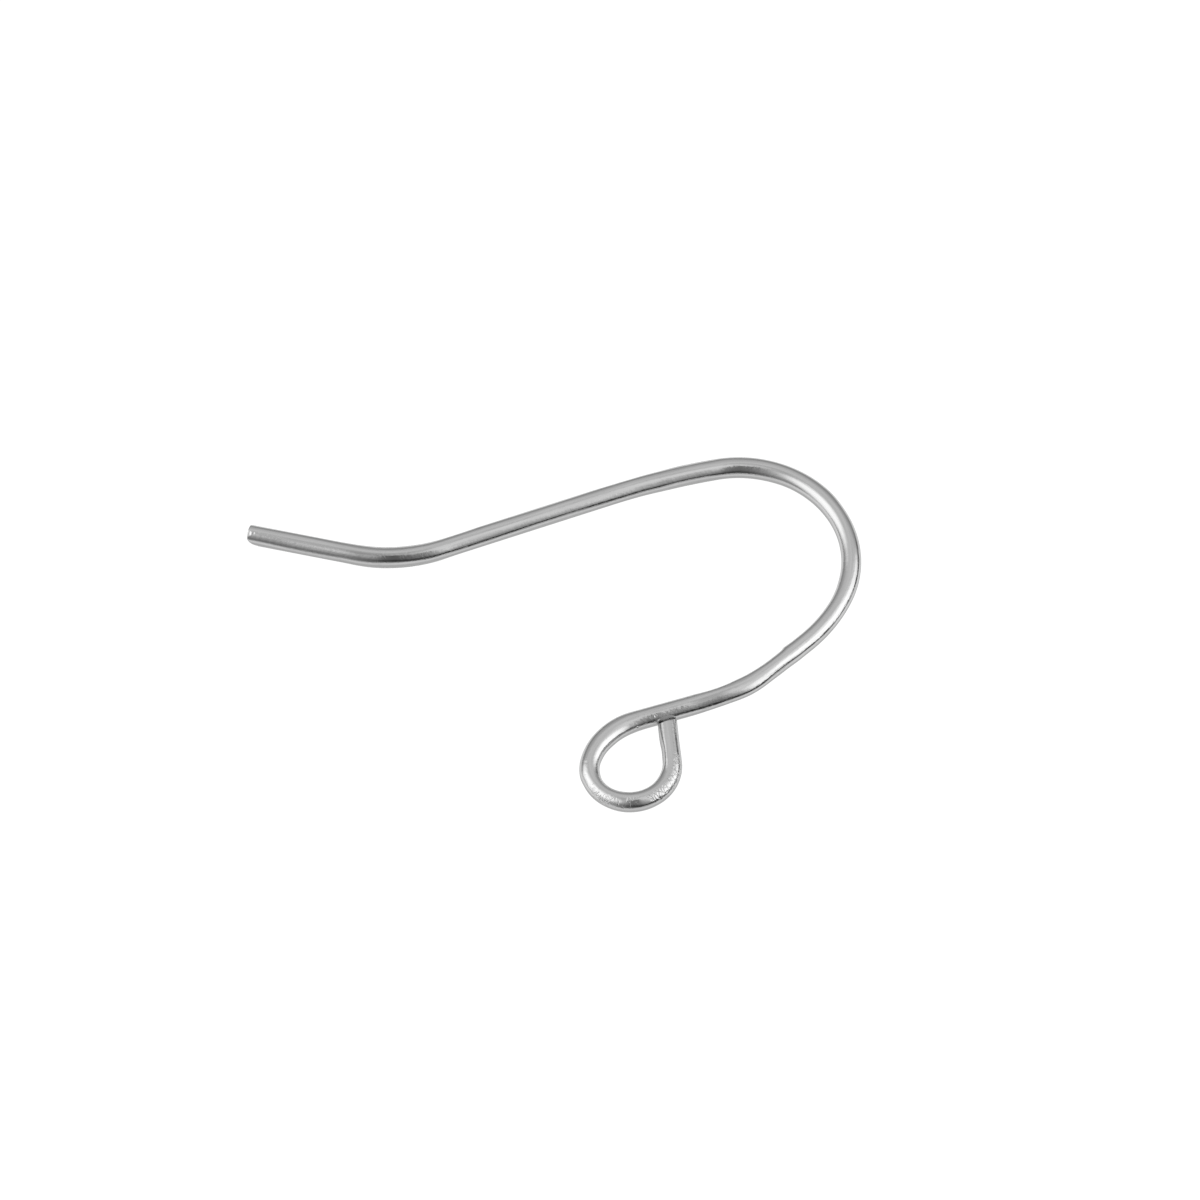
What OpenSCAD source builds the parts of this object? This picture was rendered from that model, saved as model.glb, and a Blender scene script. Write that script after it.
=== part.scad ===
// Plain fish-hook ear wire: one round wire, bent flat and cut square at the tail.
// It lies on its side. The straight shank points along +X, from the tail towards the crown.

/* [Wire] */
// Diameter of the round wire
wire_d = 0.7; // [0.5:0.05:0.9]
// Rounding of the rim at the tail's cut end
tip_round = 0.12; // [0.02:0.01:0.2]

/* [Tail] */
// Straight length of the tail behind the ear
tail_len = 3.8; // [1:0.1:8]
// Radius of the bend between tail and shank, at the wire's axis
tail_r = 5.25; // [2:0.25:12]
// Angle by which the tail stands off from the shank
tail_turn = 34; // [5:1:60]

/* [Shank] */
// Straight length of the shank behind the ear
shank_len = 6.35; // [3:0.05:12]
// Radius of the slow curve that leads the shank into the crown
rise_r = 24; // [10:1:60]
// Angle of that slow curve
rise_turn = 9.4; // [1:0.1:14]

/* [Crown] */
// Radius of the big bend that sits in the ear, at the wire's axis
crown_r = 3.9; // [2.5:0.05:7]
// Angle of the big bend
crown_turn = 126; // [100:1:140]

/* [Front] */
// Radius of the open curve below the crown
front_r = 5.75; // [3:0.25:15]
// Angle of that open curve
front_turn = 22.5; // [5:0.5:40]
// Straight length below the open curve
front_len = 1.2; // [0.2:0.1:5]
// Radius of the flare above the knee
flare_r = 11; // [4:0.5:30]
// Angle of the flare
flare_turn = 6.5; // [1:0.5:15]
// Radius of the knee where the wire turns towards the loop
knee_r = 3.8; // [1.5:0.1:10]
// Angle of the knee
knee_turn = 13; // [1:0.5:30]

/* [Lead] */
// Radius of the slow curve below the knee
lead_r = 17; // [8:1:40]
// Angle of that slow curve
lead_turn = 5.6; // [1:0.1:12]
// Straight length that the loop's end closes against
lead_len = 1.85; // [1.6:0.05:5]

/* [Loop] */
// Radius of the shoulder where the lead turns into the loop
shoulder_r = 2.45; // [1.8:0.05:3.2]
// Angle of the shoulder
shoulder_turn = 53; // [45:1:60]
// Radius of the loop's first part, at the wire's axis
loop_r = 1.3; // [1.15:0.05:1.6]
// Angle of the loop's first part
loop_turn = 80; // [70:1:90]
// Radius of the loop's second part, which is a little wider
loop_side_r = 1.45; // [1.3:0.05:1.7]
// Angle of the loop's second part
loop_side_turn = 124; // [115:1:132]
// Gap between the loop's cut end and the lead
loop_gap = 0.04; // [0.02:0.01:0.5]

/* [Hidden] */
$fn = 48;
wire_r = wire_d / 2;

// One row for each stretch of the wire, from the tail to where the lead gets straight, and from there
// to the loop's end. A straight has its length and no turn. A bend has its radius at the wire's axis,
// and the angle that it turns, positive to the left.
TO_LEAD = [
    [tail_len, 0],
    [tail_r, tail_turn],
    [shank_len, 0],
    [rise_r, -rise_turn],
    [crown_r, -crown_turn],
    [front_r, -front_turn],
    [front_len, 0],
    [flare_r, -flare_turn],
    [knee_r, -knee_turn],
    [lead_r, -lead_turn],
];
FROM_LEAD = [
    [lead_len, 0],
    [shoulder_r, shoulder_turn],
    [loop_r, loop_turn],
    [loop_side_r, loop_side_turn],
];
STRETCHES = concat(TO_LEAD, FROM_LEAD);
LEAD = len(TO_LEAD);
END = len(STRETCHES);
function size(i) = STRETCHES[i][0];
function turn(i) = STRETCHES[i][1];
function side(i) = sign(turn(i));

// Every second stretch is a hair thinner, and runs on a little inside the two beside it.
thinner = 0.002;
run_on = 0.02;
function is_inner(i) = i % 2;
function radius(i) = wire_r - thinner * is_inner(i);

// Directions in the plane of the wire
function ahead(angle) = [cos(angle), sin(angle)];
function left(angle) = [-sin(angle), cos(angle)];

// The wire's heading where a stretch starts. The tail's is such that the shank's comes to 0.
tail_heading = -tail_turn;
function heading(i) = i == 0 ? tail_heading : heading(i - 1) + turn(i - 1);

// Where a stretch starts, and the centre of a bend, measured from the tail's tip
function start(i) = i == 0 ? [0, 0] :
    side(i - 1) == 0 ? start(i - 1) + size(i - 1) * ahead(heading(i - 1)) :
    centre(i - 1) - side(i - 1) * size(i - 1) * left(heading(i));
function centre(i) = start(i) + side(i) * size(i) * left(heading(i));

// The loop's end runs on straight until its cut face stands loop_gap off the lead.
lead_heading = heading(LEAD);
end_heading = heading(END);
end_height = (start(END) - start(LEAD)) * left(lead_heading) - wire_r - loop_gap;
end_len = end_height / -(ahead(end_heading) * left(lead_heading));
end_point = start(END) + end_len * ahead(end_heading);

// Places where the outline can reach furthest: the tail's rim, the loop's end and, where a bend
// turns past a compass direction, its outer edge there
COMPASS = [0, 90, 180, 270];
function across(point, half, angle) = [point + half * left(angle), point - half * left(angle)];
function past_start(i, angle) = (((angle - heading(i)) * side(i) + 90) % 360 + 360) % 360;
function turns_past(i, angle) = past_start(i, angle) <= abs(turn(i));
REACH = concat(
    [for (rim = across(tip_round * ahead(tail_heading), wire_r - tip_round, tail_heading))
        for (angle = COMPASS) rim + tip_round * ahead(angle)],
    across(end_point, wire_r, end_heading),
    [for (i = [0 : END - 1]) if (side(i) != 0) for (angle = COMPASS) if (turns_past(i, angle))
        centre(i) + (size(i) + radius(i)) * ahead(angle)]);
xs = [for (point = REACH) point[0]];
ys = [for (point = REACH) point[1]];
middle = [(min(xs) + max(xs)) / 2, (min(ys) + max(ys)) / 2];

// A straight run of wire along +X
module run(length) {
    rotate([0, 90, 0]) cylinder(r = wire_r, h = length);
}

// The rounded rim of the tail's cut end
module tip() {
    rotate([0, 90, 0]) rotate_extrude() {
        square([wire_r - tip_round, tip_round]);
        translate([wire_r - tip_round, tip_round]) intersection() {
            circle(tip_round);
            translate([0, -tip_round]) square(tip_round);
        }
    }
}

// The loop's end, cut off parallel to the lead
module loop_end() {
    spare = wire_d;
    difference() {
        run(end_len + spare);
        translate([end_len, 0, 0]) rotate(lead_heading + 180 - end_heading)
            translate([-2 * spare, 0, -spare]) cube([4 * spare, 4 * spare, 2 * spare]);
    }
}

// A bend round its own centre
module bend(i) {
    run_on_angle = is_inner(i) * run_on / size(i) * 180 / PI;
    first = side(i) > 0 ? heading(i) - 90 : heading(i + 1) + 90;
    rotate(first - run_on_angle) rotate_extrude(angle = abs(turn(i)) + 2 * run_on_angle)
        translate([size(i), 0]) rotate(-90) circle(radius(i));
}

// The whole ear wire, lying flat with the middle of its outline over the origin
module ear_wire() {
    color("silver") translate([-middle[0], -middle[1], wire_r]) {
        rotate(tail_heading) {
            tip();
            translate([tip_round, 0, 0]) run(tail_len - tip_round);
        }
        for (i = [1 : END - 1]) {
            if (side(i) == 0) translate(start(i)) rotate(heading(i)) run(size(i));
            if (side(i) != 0) translate(centre(i)) bend(i);
        }
        translate(start(END)) rotate(end_heading) loop_end();
    }
}

ear_wire();
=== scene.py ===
"""A plain fish-hook ear wire of polished steel, lying on a pale table in soft studio light."""

import math

import bmesh
import bpy
from mathutils import Matrix, Vector


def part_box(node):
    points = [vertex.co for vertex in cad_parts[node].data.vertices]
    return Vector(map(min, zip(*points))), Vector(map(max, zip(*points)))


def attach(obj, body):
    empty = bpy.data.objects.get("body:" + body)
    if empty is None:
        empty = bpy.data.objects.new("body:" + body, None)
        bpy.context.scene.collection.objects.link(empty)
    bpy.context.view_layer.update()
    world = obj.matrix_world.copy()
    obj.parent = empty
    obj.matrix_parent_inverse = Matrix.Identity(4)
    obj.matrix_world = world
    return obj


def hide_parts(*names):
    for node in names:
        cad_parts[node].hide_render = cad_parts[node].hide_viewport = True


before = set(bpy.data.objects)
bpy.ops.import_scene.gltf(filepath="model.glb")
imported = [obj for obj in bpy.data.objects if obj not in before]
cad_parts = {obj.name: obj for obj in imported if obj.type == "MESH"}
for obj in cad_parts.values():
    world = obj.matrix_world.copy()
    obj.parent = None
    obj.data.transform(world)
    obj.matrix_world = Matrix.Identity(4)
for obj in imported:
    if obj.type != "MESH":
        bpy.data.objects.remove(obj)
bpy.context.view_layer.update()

MM = 0.001
UP = Vector((0, 0, 1))
NEAR_ZERO = 0.001                    # so that nothing is divided by 0


# Camera

VIEW_TURN = math.radians(21.044)     # the camera looks this far clockwise from +Y
VIEW_HEIGHT = math.radians(57)       # angle above the table
VIEW_DISTANCE = 215 * MM
VIEW_AIM = Vector((0.624, 0.627, 0.35)) * MM
LENS_TO_SENSOR = 5.1337
SENSOR = 36                          # mm, and the picture is the same with any other
CLIP_NEAR = VIEW_DISTANCE / 20
CLIP_FAR = VIEW_DISTANCE * 50


def add_object(name, data):
    made = bpy.data.objects.new(name, data)
    bpy.context.scene.collection.objects.link(made)
    return made


def add_mesh(name, bm):
    """A new object with the finished mesh."""
    mesh = bpy.data.meshes.new(name)
    bm.to_mesh(mesh)
    bm.free()
    return add_object(name, mesh)


def studio_direction(azimuth, elevation):
    """A direction from the part: azimuth 0 leads straight away from the camera, pi / 2 to its right."""
    turn = VIEW_TURN + azimuth
    flat = math.cos(elevation)
    return Vector((math.sin(turn) * flat, math.cos(turn) * flat, math.sin(elevation)))


def set_camera():
    data = bpy.data.cameras.new("camera")
    data.sensor_width = SENSOR
    data.lens = LENS_TO_SENSOR * SENSOR
    data.clip_start = CLIP_NEAR
    data.clip_end = CLIP_FAR
    camera = add_object("camera", data)
    bpy.context.scene.camera = camera
    towards_camera = studio_direction(math.pi, VIEW_HEIGHT)
    camera.location = VIEW_AIM + VIEW_DISTANCE * towards_camera
    camera.rotation_euler = towards_camera.to_track_quat("Z", "Y").to_euler()


set_camera()


# Shader nodes

def node(tree, kind, inputs=None, **settings):
    """A new node with its settings. An input given as a socket is linked, and anything else is its value."""
    made = tree.nodes.new(kind)
    for name, value in settings.items():
        setattr(made, name, value)
    for name, value in (inputs or {}).items():
        if isinstance(value, bpy.types.NodeSocket):
            tree.links.new(value, made.inputs[name])
        else:
            made.inputs[name].default_value = value
    return made


def math_node(tree, operation, *values):
    return node(tree, "ShaderNodeMath", dict(enumerate(values)), operation=operation).outputs[0]


def vector_math(tree, operation, *values, result="Vector"):
    return node(tree, "ShaderNodeVectorMath", dict(enumerate(values)), operation=operation).outputs[result]


def ramp(tree, value, low, high, to_low=0.0, to_high=1.0):
    """A smooth change from to_low, where the value is low, to to_high, where it is high."""
    inputs = {"Value": value, "From Min": low, "From Max": high, "To Min": to_low, "To Max": to_high}
    return node(tree, "ShaderNodeMapRange", inputs, interpolation_type="SMOOTHSTEP").outputs["Result"]


def stretched(tree, vector, scale):
    return node(tree, "ShaderNodeMapping", {"Vector": vector, "Scale": scale}).outputs["Vector"]


def noise(tree, stock, scale, detail=2.0):
    """Noise on the wire, with its scale per mm along the wire and across it."""
    along, across = scale
    inputs = {"Vector": stretched(tree, stock, (along, across, across)), "Scale": 1.0, "Detail": detail}
    return node(tree, "ShaderNodeTexNoise", inputs).outputs["Fac"]


def mix(tree, factor, a, b):
    inputs = {"Factor": factor, "A": a, "B": b}
    return node(tree, "ShaderNodeMix", inputs, data_type="FLOAT").outputs["Result"]


def product(tree, *values):
    result = values[0]
    for value in values[1:]:
        result = math_node(tree, "MULTIPLY", result, value)
    return result


def total(tree, values):
    result = values[0]
    for value in values[1:]:
        result = math_node(tree, "ADD", result, value)
    return result


def window(tree, value, start, end, fade):
    """1 from start to end, and fading to 0 outside them."""
    return product(tree, ramp(tree, value, start - fade, start), ramp(tree, value, end + fade, end))


# Surroundings: a light tent with two big soft lamps and a small one high up, and the dark studio behind
# the camera

# Azimuths and elevations are in degrees. Heights are those of a direction: 0 is level and 1 straight up.
TENT_FOOT = 0.4
TENT = [
    # the two heights between which the tent's light changes, and the light from there on
    (0.05, 0.9, 0.85),
    (0.9, 1.0, 0.65),
]
LAMPS = [
    # azimuth, elevation, inner and outer angle of the soft edge, light, and whether it stands on legs
    (-94, 34, 4, 45, 1.75, False),
    (94, 28, 4, 46, 1.85, True),
    (107, 76, 2, 25, 1.03, False),
]
LEGS_TOP = 0.15

# The dark studio shows as a wedge behind the camera, from the table almost to the top of the tent.
DARK_TURN = 178                      # azimuth of its middle
DARK_SPREAD = 0.85                   # tangent of the angle between its middle and its sides
DARK_END = (0.1, 0.16)               # how far a direction leads back, where it starts and where it is full
DARK_FOOT = (0.02, 0.26, 0.7, 1.0)   # the heights between which it gets darker, and its share at each
DARK_LIGHT = (0.3, 0.65, 0.08, 0.22)  # the heights between which its light changes, and the light at each

OPEN_FOOT = [
    # Where the tent's foot stands open: azimuth of the middle, angle to each side where the dark starts
    # and where it is full, height where it starts and where it is full, and the light that is left
    (136, 51, 16, 0.3, 0.13, 0.03),
    (77, 42, 18, 0.2, 0.09, 0.04),
]


def cone(tree, direction, middle, outer, inner):
    """1 within the inner angle from the middle direction, and fading to 0 at the outer one."""
    facing = vector_math(tree, "DOT_PRODUCT", direction, middle, result="Value")
    return ramp(tree, facing, math.cos(math.radians(outer)), math.cos(math.radians(inner)))


def make_surroundings():
    world = bpy.data.worlds.new("light tent")
    bpy.context.scene.world = world
    world.use_nodes = True
    tree = world.node_tree
    tree.nodes.clear()
    direction = node(tree, "ShaderNodeTexCoord").outputs["Generated"]
    turned = node(tree, "ShaderNodeVectorRotate",
                  {"Vector": direction, "Angle": VIEW_TURN + math.radians(DARK_TURN - 180)},
                  rotation_type="Z_AXIS").outputs["Vector"]
    parts = node(tree, "ShaderNodeSeparateXYZ", {"Vector": turned}).outputs
    height = parts["Z"]

    light = TENT_FOOT
    for start, end, light_above in TENT:
        light = mix(tree, ramp(tree, height, start, end), light, light_above)
    above_legs = ramp(tree, height, 0.0, LEGS_TOP)
    for azimuth, elevation, inner, outer, strength, on_legs in LAMPS:
        middle = studio_direction(math.radians(azimuth), math.radians(elevation))
        glow = cone(tree, direction, middle, outer, inner)
        if on_legs:
            glow = product(tree, glow, above_legs)
        light = mix(tree, glow, light, strength)

    behind = math_node(tree, "MAXIMUM", math_node(tree, "MULTIPLY", parts["Y"], -1.0), NEAR_ZERO)
    sideways = math_node(tree, "DIVIDE", math_node(tree, "ABSOLUTE", parts["X"]), behind)
    wedge = product(tree, ramp(tree, sideways, DARK_SPREAD, 0.0), ramp(tree, behind, *DARK_END),
                    ramp(tree, height, *DARK_FOOT))
    light = mix(tree, wedge, light, ramp(tree, height, *DARK_LIGHT))

    level = vector_math(tree, "NORMALIZE", vector_math(tree, "MULTIPLY", direction, (1, 1, 0)))
    for azimuth, spread, full, top, full_top, dim in OPEN_FOOT:
        middle = studio_direction(math.radians(azimuth), 0)
        band = product(tree, cone(tree, level, middle, spread, full), ramp(tree, height, top, full_top))
        light = mix(tree, band, light, dim)

    # The camera itself sees plain white past the table's edge.
    seen = node(tree, "ShaderNodeLightPath").outputs["Is Camera Ray"]
    strength = mix(tree, seen, light, 1.0)
    background = node(tree, "ShaderNodeBackground", {"Color": (1, 1, 1, 1), "Strength": strength})
    output = node(tree, "ShaderNodeOutputWorld")
    tree.links.new(background.outputs["Background"], output.inputs["Surface"])


TABLE_SIZE = 1.5                     # from its middle to its edge
TABLE_GREY = 0.1
TABLE_ROUGHNESS = 0.15
TABLE_IOR = 1.2
# How the table glows by its slant, where 1 is edge on and 0 straight from above: two slants and the glow
# at each, and then how much of it is missing from above
GLOW = (1.0, 0.65, 0.18, 0.86)
GLOW_MISSING = (0.55, 0.2, 0.0, 0.26)


def make_table():
    """A glossy acrylic table top, lit from below. It glows most at a slant and least edge on."""
    bm = bmesh.new()
    bmesh.ops.create_grid(bm, x_segments=1, y_segments=1, size=TABLE_SIZE)
    table = add_mesh("table", bm)
    material = bpy.data.materials.new("lit acrylic")
    material.use_nodes = True
    tree = material.node_tree
    shader = tree.nodes["Principled BSDF"]
    slant = node(tree, "ShaderNodeLayerWeight", {"Blend": 0.5}).outputs["Facing"]
    mirrored = math_node(tree, "SUBTRACT", ramp(tree, slant, *GLOW), ramp(tree, slant, *GLOW_MISSING))
    # The camera itself sees it plain white.
    seen = node(tree, "ShaderNodeLightPath").outputs["Is Camera Ray"]
    glow = mix(tree, seen, mirrored, 1.0)
    shader.inputs["Base Color"].default_value = (TABLE_GREY, TABLE_GREY, TABLE_GREY, 1)
    shader.inputs["Roughness"].default_value = TABLE_ROUGHNESS
    shader.inputs["IOR"].default_value = TABLE_IOR
    shader.inputs["Emission Color"].default_value = (1, 1, 1, 1)
    tree.links.new(glow, shader.inputs["Emission Strength"])
    table.data.materials.append(material)


bpy.context.scene.view_settings.view_transform = "Standard"
make_surroundings()
make_table()


# Wire

WIRE_R = 0.35 * MM
SIDES = 64                           # points to a ring
RING_GAP = 0.1 * MM                  # along the wire
FINE_GAP = 0.02 * MM                 # at the two ends
FINE_LENGTH = 0.6 * MM
TAIL_TURN = 34                       # the kink turns it back, so that the shank runs along X
LEAD = "lead"

# One row for each stretch, from the tail to the loop: the length of a straight and no turn, or the
# radius of a bend at the wire's axis and the angle that it turns, positive to the left
STRETCHES = [
    ("tail", 3.8, 0),
    ("kink", 5.25, TAIL_TURN),
    ("shank", 6.35, 0),
    ("rise", 24, -9.4),
    ("crown", 3.9, -126),
    ("front", 5.75, -22.5),
    ("front straight", 1.2, 0),
    ("flare", 11, -6.5),
    ("knee", 3.8, -13),
    ("lead curve", 17, -5.6),
    (LEAD, 1.85, 0),
    ("shoulder", 2.45, 53),
    ("loop", 1.3, 80),
    ("loop side", 1.45, 124),
]
LOOP_GAP = 0.022 * MM                # between the loop's end and the lead
CUT_LEAN = math.radians(20)          # the nippers left the upper half of the loop's end leaning back

RIM = 0.055 * MM                     # rounding of the rims of both cut ends

# The tail's rim is worn down on two sides, each in a quarter of an ellipse.
WORN = [
    # which side (degrees round the wire, from its left over the top), length, depth
    (212, 0.4 * MM, 0.26 * MM),
    (0, 0.2 * MM, 0.085 * MM),
]
WORN_SOFTNESS = 0.012 * MM

# Where the bending tools squeezed the wire a little thinner, or spread it a little
SQUEEZED = [
    # start, full from, full to, end, side (1 is the left and -1 the right), depth (below 0 where the
    # wire is spread); all lengths in mm
    (3.1, 4.3, 5.6, 6.9, 1, -0.032),
    (3.4, 4.8, 6.3, 7.6, -1, -0.028),
    (6.6, 7.2, 7.8, 8.5, 1, 0.018),
    (12.6, 13.6, 13.9, 14.8, 1, 0.015),
    (15.0, 16.0, 21.2, 22.3, 1, -0.034),
    (14.2, 15.4, 18.8, 20.2, -1, -0.028),
    (25.0, 26.2, 28.4, 28.98, -1, 0.033),
    (28.8, 28.98, 29.8, 31.2, -1, 0.05),
    (28.6, 29.3, 29.7, 30.5, 1, 0.03),
    (30.7, 31.5, 31.9, 33.2, 1, 0.024),
    (31.0, 31.7, 32.0, 32.8, -1, 0.04),
    (34.6, 35.2, 36.0, 36.8, 1, -0.028),
    (34.7, 35.6, 36.4, 37.4, -1, -0.026),
    (37.8, 38.1, 38.8, 39.6, -1, 0.026),
    (37.8, 38.3, 38.8, 39.8, 1, 0.026),
    (40.4, 41.0, 42.2, 43.0, -1, -0.012),
    (41.3, 42.15, 42.5, 43.1, 1, 0.04),
    (41.8, 42.6, 44.0, 45.0, 1, 0.022),
]


class Ring:
    """A ring of points round the wire, with the wire's place and heading there."""

    def __init__(self, verts, run, point, heading):
        self.verts = verts
        self.run = run
        self.point = point
        self.ahead = Vector((math.cos(heading), math.sin(heading), 0))
        self.left = UP.cross(self.ahead)

    def offset(self, vert):
        """Where a point stands off the wire's axis: how far ahead, to the left and up."""
        out = vert.co - self.point
        return Vector((out.dot(self.ahead), out.dot(self.left), out.z))

    def place(self, vert, offset):
        vert.co = self.point + offset.x * self.ahead + offset.y * self.left + offset.z * UP


class Bender:
    """Bends the wire as it comes off the coil: each step carries the last ring of points on."""

    def __init__(self):
        self.bm = bmesh.new()
        self.stock = self.bm.verts.layers.float_vector.new("stock")
        self.heading = math.radians(-TAIL_TURN)
        self.point = Vector((0, 0, WIRE_R))
        self.run = 0.0
        facing = Matrix.Rotation(self.heading, 4, "Z") @ Matrix.Rotation(math.pi / 2, 4, "Y")
        bmesh.ops.create_circle(self.bm, segments=SIDES, radius=WIRE_R,
                                matrix=Matrix.Translation(self.point) @ facing)
        self.geom = self.bm.verts[:] + self.bm.edges[:]
        self.rings = []
        self.keep_ring()

    def keep_ring(self):
        verts = [item for item in self.geom if isinstance(item, bmesh.types.BMVert)]
        self.rings.append(Ring(verts, self.run, self.point, self.heading))

    def step(self, length, centre, angle):
        """Carries the last ring on, round the centre, or straight ahead where the angle is 0."""
        dvec = Vector() if angle else self.rings[-1].ahead * length
        made = bmesh.ops.spin(self.bm, geom=self.geom, cent=centre, axis=UP, dvec=dvec, angle=angle,
                              steps=1, use_duplicate=False)
        self.geom = made["geom_last"]
        self.point = centre + Matrix.Rotation(angle, 3, "Z") @ (self.point - centre) + dvec
        self.heading += angle
        self.run += length
        self.keep_ring()

    def straight(self, length, gap=RING_GAP):
        steps = math.ceil(length / gap)
        for _ in range(steps):
            self.step(length / steps, self.point, 0)

    def bend(self, radius, turn):
        centre = self.point + math.copysign(radius, turn) * self.rings[-1].left
        steps = math.ceil(abs(turn) * radius / RING_GAP)
        for _ in range(steps):
            self.step(abs(turn) * radius / steps, centre, turn / steps)


def bend_wire():
    """The wire with both ends left square. The second result is the ring where the lead starts."""
    bender = Bender()
    bender.straight(FINE_LENGTH, FINE_GAP)
    for name, size, turn in STRETCHES:
        if name == LEAD:
            lead_start = bender.rings[-1]
        if turn:
            bender.bend(size * MM, math.radians(turn))
        else:
            bender.straight(size * MM - (FINE_LENGTH if name == "tail" else 0))

    # The loop's end runs on until it stands off the lead by the gap.
    end = bender.rings[-1]
    height = (end.point - lead_start.point).dot(lead_start.left) - WIRE_R - LOOP_GAP
    length = height / -end.ahead.dot(lead_start.left)
    bender.straight(length - FINE_LENGTH)
    bender.straight(FINE_LENGTH, FINE_GAP)
    return bender, lead_start


def soft_min(a, b, softness):
    return -softness * math.log(math.exp(-a / softness) + math.exp(-b / softness))


def quarter_round(depth, length, run):
    """How deep a quarter of an ellipse still is, at some run from where it is deepest."""
    left_over = max(0.0, 1 - run / length)
    return depth * (1 - math.sqrt(1 - left_over ** 2))


def flatten(offset, side, limit, softness):
    """Presses the wire in on one side, so that it reaches no further out than the limit."""
    out = Vector((0, math.cos(math.radians(side)), math.sin(math.radians(side))))
    reach = offset.dot(out)
    return offset + (soft_min(reach, limit, softness) - reach) * out


def wear_ends(bender, lead_start):
    """Cuts the loop's end, rounds both rims and wears the tail's rim down."""
    # The cut is parallel to the lead, and its upper half leans back.
    end = bender.rings[-1]
    slope = end.left.dot(lead_start.left) / -end.ahead.dot(lead_start.left)
    for ring in bender.rings:
        from_tip = ring.run
        from_end = end.run - ring.run
        for vert in ring.verts:
            offset = ring.offset(vert)
            rim = min(from_tip, from_end)
            if rim < RIM:
                offset *= 1 - quarter_round(RIM, RIM, rim) / WIRE_R
            for side, length, depth in WORN:
                if from_tip < length:
                    limit = WIRE_R - quarter_round(depth, length, from_tip)
                    offset = flatten(offset, side, limit, WORN_SOFTNESS)
            if from_end < FINE_LENGTH:
                cut = slope * offset.y - math.tan(CUT_LEAN) * max(offset.z, 0)
                offset.x += cut * (1 - from_end / FINE_LENGTH)
            ring.place(vert, offset)


def smooth_step(value, low, high):
    share = min(max((value - low) / (high - low), 0.0), 1.0)
    return share * share * (3 - 2 * share)


def squeeze(bender):
    """Scales one half of the wire's section towards its middle, or away from it."""
    for ring in bender.rings:
        run = ring.run / MM
        for start, full_from, full_to, end, side, depth in SQUEEZED:
            if not start < run < end:
                continue
            out = Vector((0, side, 0))
            share = smooth_step(run, start, full_from) * (1 - smooth_step(run, full_to, end))
            for vert in ring.verts:
                offset = ring.offset(vert)
                reach = max(offset.dot(out), 0.0)
                ring.place(vert, offset - reach * share * depth * MM / WIRE_R * out)


def make_wire():
    bender, lead_start = bend_wire()
    bm = bender.bm
    for ring in bender.rings:
        for vert in ring.verts:
            offset = ring.offset(vert)
            vert[bender.stock] = (ring.run, offset.y, offset.z)
    squeeze(bender)
    wear_ends(bender, lead_start)
    bmesh.ops.holes_fill(bm, edges=[edge for edge in bm.edges if edge.is_boundary], sides=0)
    bmesh.ops.recalc_face_normals(bm, faces=bm.faces[:])
    for face in bm.faces:
        face.smooth = len(face.verts) == 4

    wire = add_mesh("bent_wire", bm)

    # The crown reaches as far as the part's, and so does the loop.
    low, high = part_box("ear_wire")
    crown_x = max(vert.co.x for vert in wire.data.vertices)
    loop_y = min(vert.co.y for vert in wire.data.vertices)
    wire.data.transform(Matrix.Translation((high.x - crown_x, low.y - loop_y, 0)))
    return wire


# Steel. Every pattern lies on the straight stock: X runs along the wire, Y to its left and Z up, in mm.
# Heights are in mm too. A stretch of the wire is given by its start, its end and how far it fades past both.

STEEL = (0.52, 0.58)                 # grey, from streak to streak
POLISH = (0.08, 0.14)                # roughness, from spot to spot
STREAKS = (0.5, 14)                  # scale of the noise per mm along and across the wire, as in all below
POLISH_SPOTS = (0.8, 6)

# An uneven surface: the noise's scale, and its height
DRAWN = ((0.3, 10), 0.005)           # lines of the drawing die
FINE = ((1.5, 22), 0.0016)
GRAIN = ((8, 12), 0.004)
RUBS = ((12, 3.0), 0.009)
SCRATCHES = [
    # slant across the wire in degrees, the noise's scale, width, depth
    (24, (7, 1.6), 0.05, 0.006),
    (-38, (5, 2.2), 0.04, 0.006),
]

# Where the pliers rubbed: on the outer side of the loop, and a little in the kink
RUBBED_LOOP = (37.7, 42.0, 0.4)
RUBBED_LOOP_SIDE = (0.06, -0.1)      # how far to the left the rubs start and are full
RUBBED_KINK = (4.8, 6.3, 0.6)
RUBBED_KINK_SHARE = 0.22
RUB_PATCHES = (1.8, 1.8)
RUB_ROUGHNESS = 0.06

# The lead is duller and grainier, and the crown is calmer.
DULL = (32.0, 34.6, 1.0)
DULL_SHARE = 0.3
DULL_GRAIN = (0.95, 1.6)             # share of the grain outside it and in it
CALM = (19.5, 23.5, 1.0)
CALM_SHARE = 0.55

# Painted shade: the steel's grey is darkened on the upper side of the kink and of the knee. This stands in
# for the dark surroundings that the wire reflects there.
PAINTED_SHADE_PATCHES = [
    # stretch, how far up and how far to the left each starts and is full, and how dark it is
    ((4.2, 5.6, 1.3), (0.16, 0.26), (-0.01, -0.1), 0.3),
    ((32.0, 32.5, 0.7), (0.1, 0.18), (0.0, 0.12), 0.33),
]

NICKS = [
    # middle along the wire, degrees round it from its left over the top, half length, half width, depth
    (0.07, 114, 0.1, 0.12, 0.02),
    (0.22, 110, 0.07, 0.07, 0.008),
    (0.42, 100, 0.05, 0.04, 0.004),
    (0.76, 106, 0.08, 0.035, 0.003),
    (34.25, 56, 0.04, 0.06, 0.01),
    (34.95, 24, 0.05, 0.05, 0.01),
]

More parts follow.
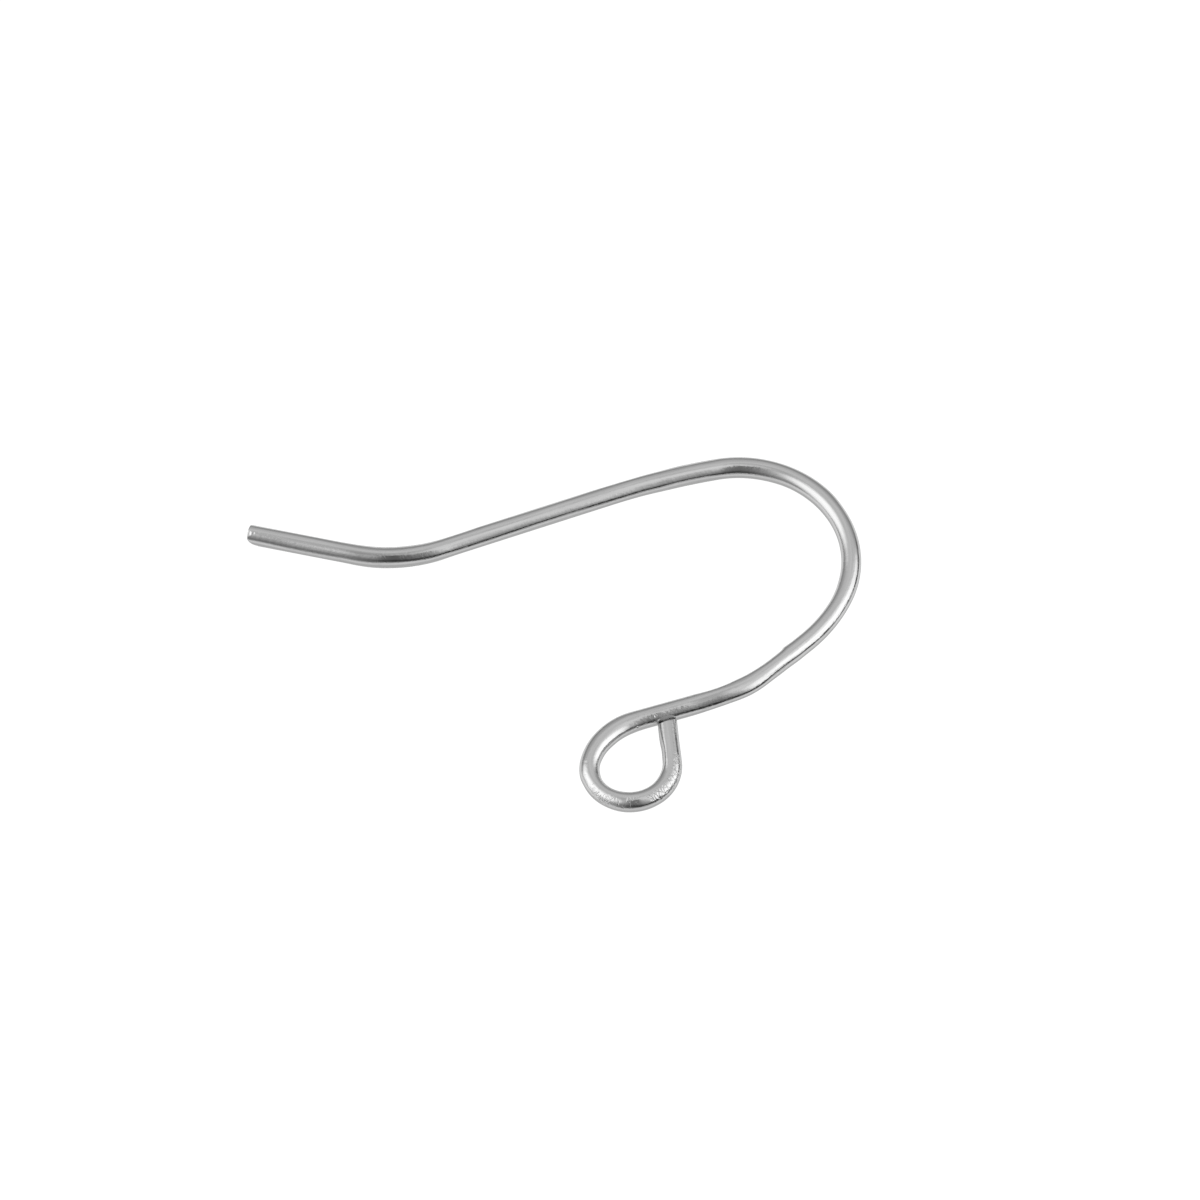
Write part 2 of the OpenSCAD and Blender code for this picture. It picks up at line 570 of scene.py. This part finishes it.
# The section leans over a little, which moves the reflections: one way or the other by stretches (1 is 45
# degrees), and to and fro along the tail and shank.
LEANS = [
    ((1.5, 3.1, 0.7), 0.02),
    ((4.9, 6.5, 0.8), -0.085),
    ((7.5, 14.0, 0.8), 0.022),
    ((9.8, 11.3, 0.8), 0.022),
    ((15.6, 16.8, 0.7), -0.045),
    ((24.9, 32.0, 0.9), 0.06),
    ((25.5, 34.0, 1.0), 0.02),
    ((30.4, 32.4, 0.8), 0.07),
    ((35.5, 36.5, 0.5), 0.04),
    ((38.4, 41.0, 1.0), 0.06),
]
LOOP_LEAN = ((42.2, 44.0, 0.8), (0.05, 0.25), -0.15)   # on the left side only, from and to there
SWING = ((0.0, 16.0, 1.5), 0.06)
SWING_LENGTH = 5.75                  # of one swing to and fro
SWING_START = 0.76

# The surface rises or sinks a little along the wire: start, end and height
SAGS = [
    (5.9, 7.3, 0.045),
    (13.4, 16.6, -0.09),
    (18.2, 19.9, -0.03),
    (30.7, 34.9, -0.2),
    (33.9, 35.3, -0.055),
    (37.8, 40.3, 0.13),
]

# A shallow groove at the knee: stretch, where it lies in height, how far to the left it starts and is
# full, and its height
GROOVE = ((29.5, 32.3, 0.7), (0.18, 0.2, 0.1), (0.05, 0.15), -0.003)


def wave(tree, stock, scale, height):
    field = noise(tree, stock, scale)
    return product(tree, math_node(tree, "SUBTRACT", field, 0.5), height)


def scratches(tree, stock, slant, scale, width, depth):
    """Thin crooked lines, slanted across the wire by some degrees."""
    slanted = node(tree, "ShaderNodeMapping", {"Vector": stock, "Rotation": (0, 0, math.radians(slant))})
    field = noise(tree, slanted.outputs["Vector"], scale, 1.0)
    from_line = math_node(tree, "ABSOLUTE", math_node(tree, "SUBTRACT", field, 0.5))
    return ramp(tree, from_line, 0.0, width, -depth, 0.0)


def nick(tree, stock, run, turn, half_length, half_width, depth):
    turn = math.radians(turn)
    middle = Vector((run, WIRE_R / MM * math.cos(turn), WIRE_R / MM * math.sin(turn)))
    away = vector_math(tree, "SUBTRACT", stock, middle)
    scaled = vector_math(tree, "MULTIPLY", away, (1 / half_length, 1 / half_width, 1 / half_width))
    distance = vector_math(tree, "LENGTH", scaled, result="Value")
    return ramp(tree, distance, 0.0, 1.0, -depth, 0.0)


def leaning_section(tree, run, left, up):
    swung = math_node(tree, "SUBTRACT", run, SWING_START)
    swing = math_node(tree, "SINE", product(tree, swung, 2 * math.pi / SWING_LENGTH))
    stretch, share = SWING
    leans = [product(tree, swing, window(tree, run, *stretch), share)]
    for stretch, share in LEANS:
        leans.append(product(tree, window(tree, run, *stretch), share))
    stretch, side, share = LOOP_LEAN
    leans.append(product(tree, window(tree, run, *stretch), ramp(tree, left, *side), share))
    return product(tree, total(tree, leans), up, -1.0)


def polished_steel():
    material = bpy.data.materials.new("polished steel")
    material.use_nodes = True
    tree = material.node_tree
    shader = tree.nodes["Principled BSDF"]
    stored = node(tree, "ShaderNodeAttribute", attribute_name="stock").outputs["Vector"]
    stock = stretched(tree, stored, (1 / MM, 1 / MM, 1 / MM))
    parts = node(tree, "ShaderNodeSeparateXYZ", {"Vector": stock}).outputs
    run, left, up = parts["X"], parts["Y"], parts["Z"]

    outer = ramp(tree, left, *RUBBED_LOOP_SIDE)
    patches = ramp(tree, noise(tree, stock, RUB_PATCHES), 0.4, 0.58)
    rubbed_loop = product(tree, window(tree, run, *RUBBED_LOOP), outer, patches)
    rubbed_kink = product(tree, window(tree, run, *RUBBED_KINK), patches, RUBBED_KINK_SHARE)
    rubbed = math_node(tree, "MAXIMUM", rubbed_loop, rubbed_kink)
    dull = window(tree, run, *DULL)
    calm = mix(tree, window(tree, run, *CALM), 1.0, CALM_SHARE)
    # Painted shade at the kink and the knee, as a share taken off the steel's grey
    painted_shade = total(tree, [
        product(tree, window(tree, run, *stretch), ramp(tree, up, *height), ramp(tree, left, *side), share)
        for stretch, height, side, share in PAINTED_SHADE_PATCHES
    ])

    drawn = product(tree, wave(tree, stock, *DRAWN), calm)
    fine = wave(tree, stock, *FINE)
    grain = product(tree, wave(tree, stock, *GRAIN), mix(tree, dull, *DULL_GRAIN), calm)
    rubs = [wave(tree, stock, *RUBS)] + [scratches(tree, stock, *row) for row in SCRATCHES]
    rubs = product(tree, total(tree, rubs), rubbed)
    leaning = leaning_section(tree, run, left, up)
    sag = total(tree, [ramp(tree, run, start, end, 0.0, height) for start, end, height in SAGS])
    stretch, band, side, depth = GROOVE
    groove = product(tree, window(tree, run, *stretch), window(tree, up, *band), ramp(tree, left, *side),
                     depth)
    nicks = [nick(tree, stock, *row) for row in NICKS]
    height = total(tree, [drawn, fine, grain, rubs, leaning, sag, groove] + nicks)
    bump = node(tree, "ShaderNodeBump", {"Height": height, "Distance": MM, "Strength": 1.0})
    tree.links.new(bump.outputs["Normal"], shader.inputs["Normal"])

    streaks = noise(tree, stock, STREAKS, 3.0)
    # The steel's grey, with the painted shade taken off
    unshaded = math_node(tree, "SUBTRACT", 1.0, painted_shade)
    shade = product(tree, ramp(tree, streaks, 0.3, 0.7, *STEEL), unshaded)
    color = node(tree, "ShaderNodeCombineColor", {"Red": shade, "Green": shade, "Blue": shade})
    tree.links.new(color.outputs["Color"], shader.inputs["Base Color"])
    polish = mix(tree, ramp(tree, noise(tree, stock, POLISH_SPOTS), 0.35, 0.65), *POLISH)
    worn = math_node(tree, "MAXIMUM", rubbed, product(tree, dull, DULL_SHARE))
    rough = math_node(tree, "ADD", polish, product(tree, worn, RUB_ROUGHNESS))
    tree.links.new(rough, shader.inputs["Roughness"])
    shader.inputs["Metallic"].default_value = 1.0
    return material


wire = make_wire()
wire.data.materials.append(polished_steel())
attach(wire, "root")
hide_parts("ear_wire")
